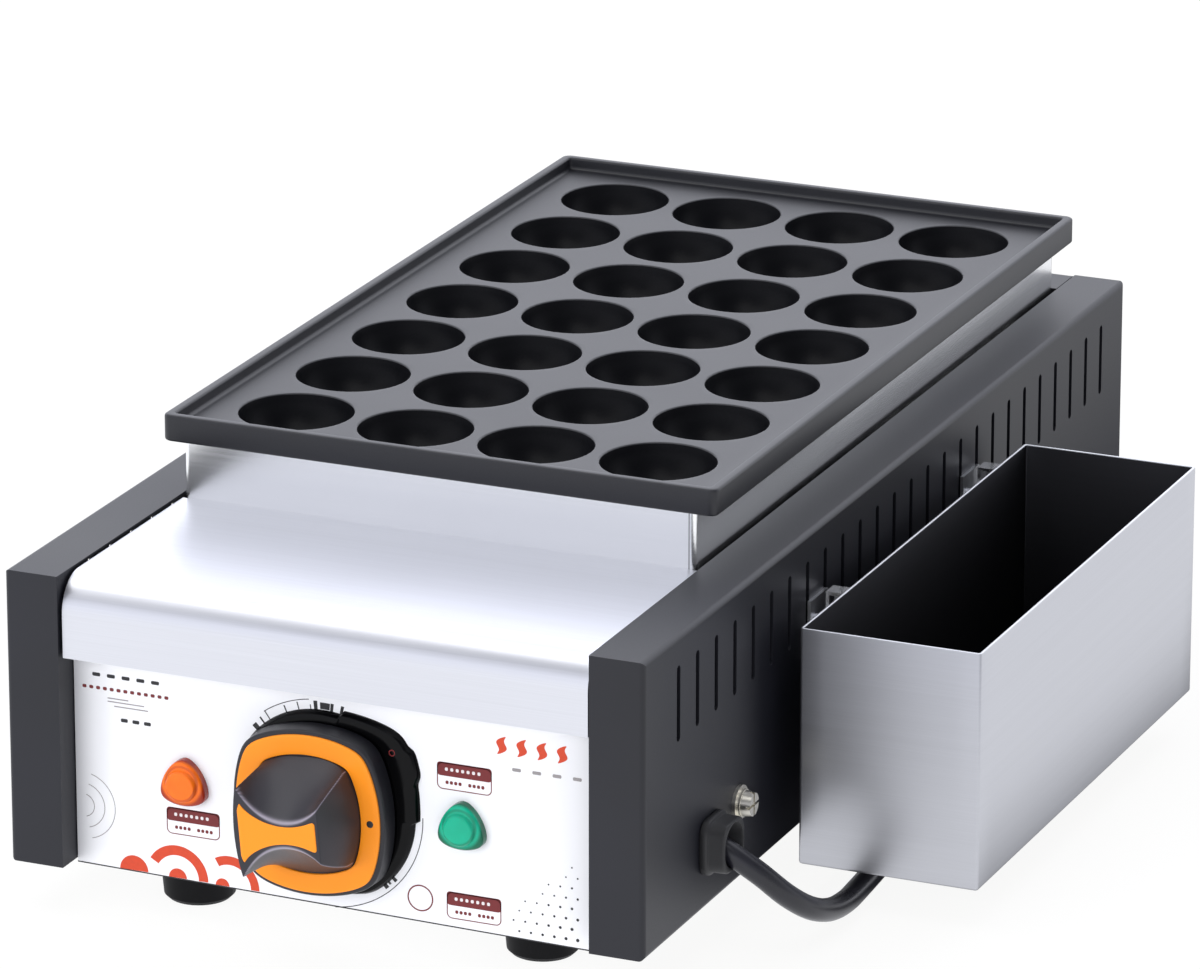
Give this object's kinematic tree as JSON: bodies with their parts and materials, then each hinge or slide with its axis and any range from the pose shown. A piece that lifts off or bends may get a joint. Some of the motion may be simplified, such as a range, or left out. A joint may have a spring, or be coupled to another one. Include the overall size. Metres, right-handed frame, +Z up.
{
  "type": "takoyaki maker",
  "caption": "Countertop takoyaki maker: dark non-stick plate of half-round cups on a steel riser, black folded case, knob and lamps in front, open steel box hung at the side, mains lead behind.",
  "frame": {"origin": "bottom centre of the whole object without its free lead, on the counter under the feet", "axes": "+Z up from the counter; +Y from the knob at the front to the back, along the machine's length; +X to the side with the hung box"},
  "size_m": [0.3138, 0.6201, 0.1533],
  "materials": {
    "black_case": "fine powder coat, satin",
    "zinc": "zinc plated",
    "stainless": "brushed along the long side",
    "panel_white": "gloss white print on sheet",
    "nonstick_cast": "pebbled dark non-stick coating",
    "mineral_fibre": "pressed mineral fibre",
    "heater_sheath": "heat-darkened sheath",
    "ceramic": "glazed ceramic, with plated pins",
    "pale_plastic": "moulded",
    "copper": "drawn copper",
    "black_gloss": "gloss black",
    "black_knob": "fine spark-eroded satin",
    "orange_plastic": "satin orange",
    "orange_lens": "translucent lens",
    "green_lens": "translucent lens",
    "wire_red": "insulated wire",
    "brass": "turned brass",
    "nickel": "nickel plated",
    "black_rubber": "moulded rubber",
    "cord_black": "smooth cord sheath, semi-gloss"
  },
  "bodies": {
    "machine": {"side_panel_left": "black_case", "side_panel_right": "black_case", "rear_panel": "black_case", "base_plate": "zinc", "top_cover": "stainless", "control_panel": "panel_white", "riser": "stainless", "cooking_plate": "nonstick_cast", "cross_rails": "zinc", "heat_tray": "stainless", "insulation_pad": "mineral_fibre", "hold_down_bars": "zinc", "hold_down_studs": "zinc", "hold_down_nuts": "zinc", "heating_element_left": "heater_sheath", "heating_element_right": "heater_sheath", "element_terminals": "ceramic", "thermostat_body": "pale_plastic", "thermostat_screws": "zinc", "thermostat_bulb": "copper", "dial_bezel": "black_gloss", "lamp_lens_orange": "orange_lens", "lamp_lens_green": "green_lens", "lamp_holders": "pale_plastic", "lamp_nuts": "black_gloss", "terminal_block": "pale_plastic", "inner_wiring": "wire_red", "earth_bolt": "brass", "earth_washers": "nickel", "cord_gland": "black_rubber", "cord_lead": "cord_black", "cord_coil": "cord_black", "cord_tie": "black_gloss", "plug_body": "cord_black", "plug_pins": "brass", "feet": "black_rubber", "foot_screws": "zinc", "case_screws": "zinc", "hanger_brackets": "zinc", "hanger_screws": "zinc"},
    "knob": {"thermostat_shaft": "zinc", "knob_body": "black_knob", "knob_ring": "orange_plastic", "knob_insert": "orange_plastic"},
    "side_box": {"box_shell": "stainless", "box_hooks": "stainless"}
  },
  "joints": [
    {"name": "knob_turn", "type": "hinge", "parent": "machine", "child": "knob", "pos_m": [-0.04245, -0.21275, 0.052], "axis": [0, 1, 0], "range_deg": [0, 270]},
    {"name": "box_lift", "type": "slide", "parent": "machine", "child": "side_box", "axis": [0, 0, 1], "range_m": [0, 0.16]}
  ]
}
